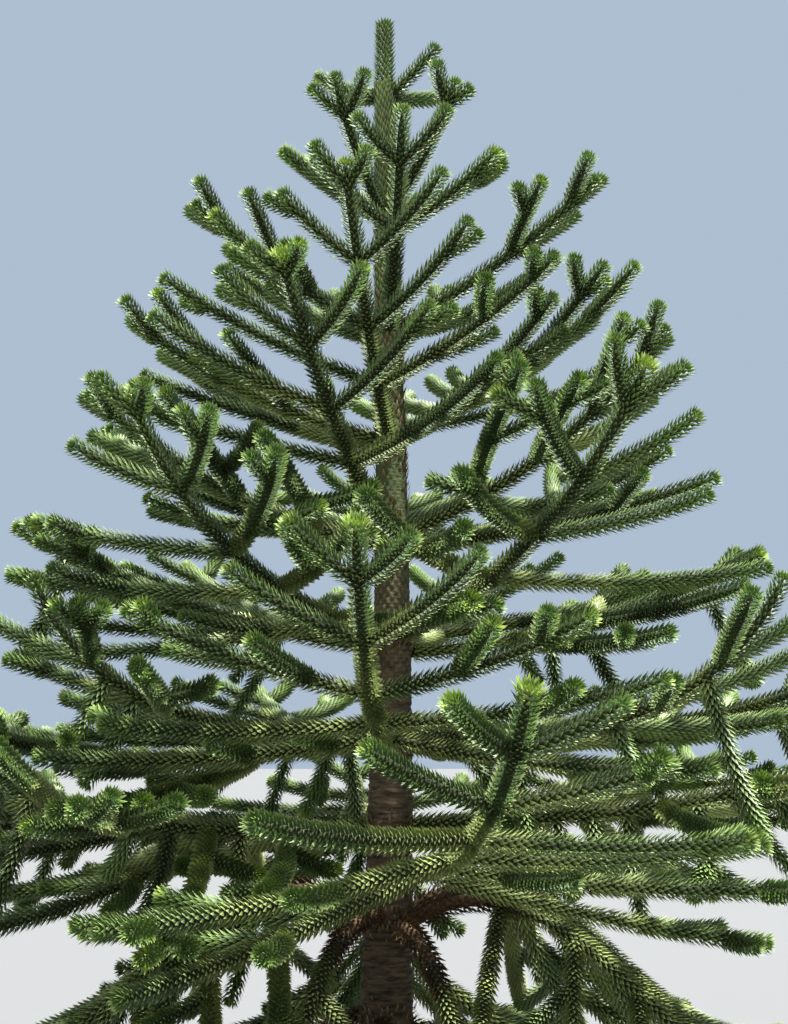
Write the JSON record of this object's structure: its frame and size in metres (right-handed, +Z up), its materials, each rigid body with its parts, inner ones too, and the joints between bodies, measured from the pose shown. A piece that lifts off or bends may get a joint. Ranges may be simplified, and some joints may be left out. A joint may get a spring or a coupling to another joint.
{
  "type": "monkey puzzle tree",
  "caption": "Monkey puzzle tree with a gently swept trunk and open tiers of boughs, each a rope of overlapping sharp scale leaves with paired side ropes that turn up.",
  "frame": {"origin": "centre of the flat cut under the trunk, at ground level", "axes": "+Z up along the trunk, -Y towards the side that the reference view shows, +X to that view's right"},
  "size_m": [3.2951, 3.4651, 4.23],
  "materials": {
    "bark": "dark brown bark with level wrinkles, dry tan scale leaves and pale leaf scars higher up",
    "dead_leaf_limb": "limb clad in dead orange-brown scale leaves",
    "shaded_leaves": "dark green glossy stiff scale leaves",
    "leaves": "green glossy stiff scale leaves with yellow-green tips",
    "young_leaves": "bright green stiff scale leaves with yellow-green tips"
  },
  "bodies": {
    "root": {"trunk": "bark", "crown_top": "young_leaves", "foliage_2_1": "young_leaves", "foliage_2_2": "young_leaves", "foliage_2_3": "young_leaves", "foliage_2_4": "young_leaves", "foliage_2_5": "young_leaves", "foliage_3_1": "young_leaves", "foliage_3_2": "young_leaves", "foliage_3_3": "young_leaves", "foliage_3_4": "young_leaves", "foliage_3_5": "young_leaves", "foliage_4_1": "leaves", "foliage_4_2": "leaves", "foliage_4_3": "leaves", "foliage_4_4": "leaves", "foliage_4_5": "leaves", "foliage_5_1": "leaves", "foliage_5_2": "leaves", "foliage_5_3": "leaves", "foliage_5_4": "leaves", "foliage_5_5": "leaves", "foliage_5_6": "leaves", "foliage_6_1": "leaves", "foliage_6_2": "leaves", "foliage_6_3": "leaves", "foliage_6_4": "leaves", "foliage_6_5": "leaves", "foliage_6_6": "leaves", "foliage_7_1": "leaves", "foliage_7_2": "leaves", "foliage_7_3": "leaves", "foliage_7_4": "leaves", "foliage_7_5": "leaves", "foliage_7_6": "leaves", "foliage_7_7": "leaves", "foliage_8_1": "shaded_leaves", "foliage_8_2": "shaded_leaves", "foliage_8_3": "shaded_leaves", "foliage_8_4": "shaded_leaves", "foliage_8_5": "shaded_leaves", "foliage_8_6": "shaded_leaves", "limb_9_1": "dead_leaf_limb", "foliage_9_1": "shaded_leaves", "limb_9_2": "dead_leaf_limb", "foliage_9_2": "shaded_leaves", "limb_9_3": "dead_leaf_limb", "foliage_9_3": "shaded_leaves", "limb_9_4": "dead_leaf_limb", "foliage_9_4": "shaded_leaves", "limb_9_5": "dead_leaf_limb", "foliage_9_5": "shaded_leaves", "limb_9_6": "dead_leaf_limb", "foliage_9_6": "shaded_leaves", "limb_9_7": "dead_leaf_limb", "foliage_9_7": "shaded_leaves", "foliage_10_1": "shaded_leaves", "foliage_10_2": "shaded_leaves", "foliage_10_3": "shaded_leaves", "foliage_10_4": "shaded_leaves"}
  },
  "joints": []
}
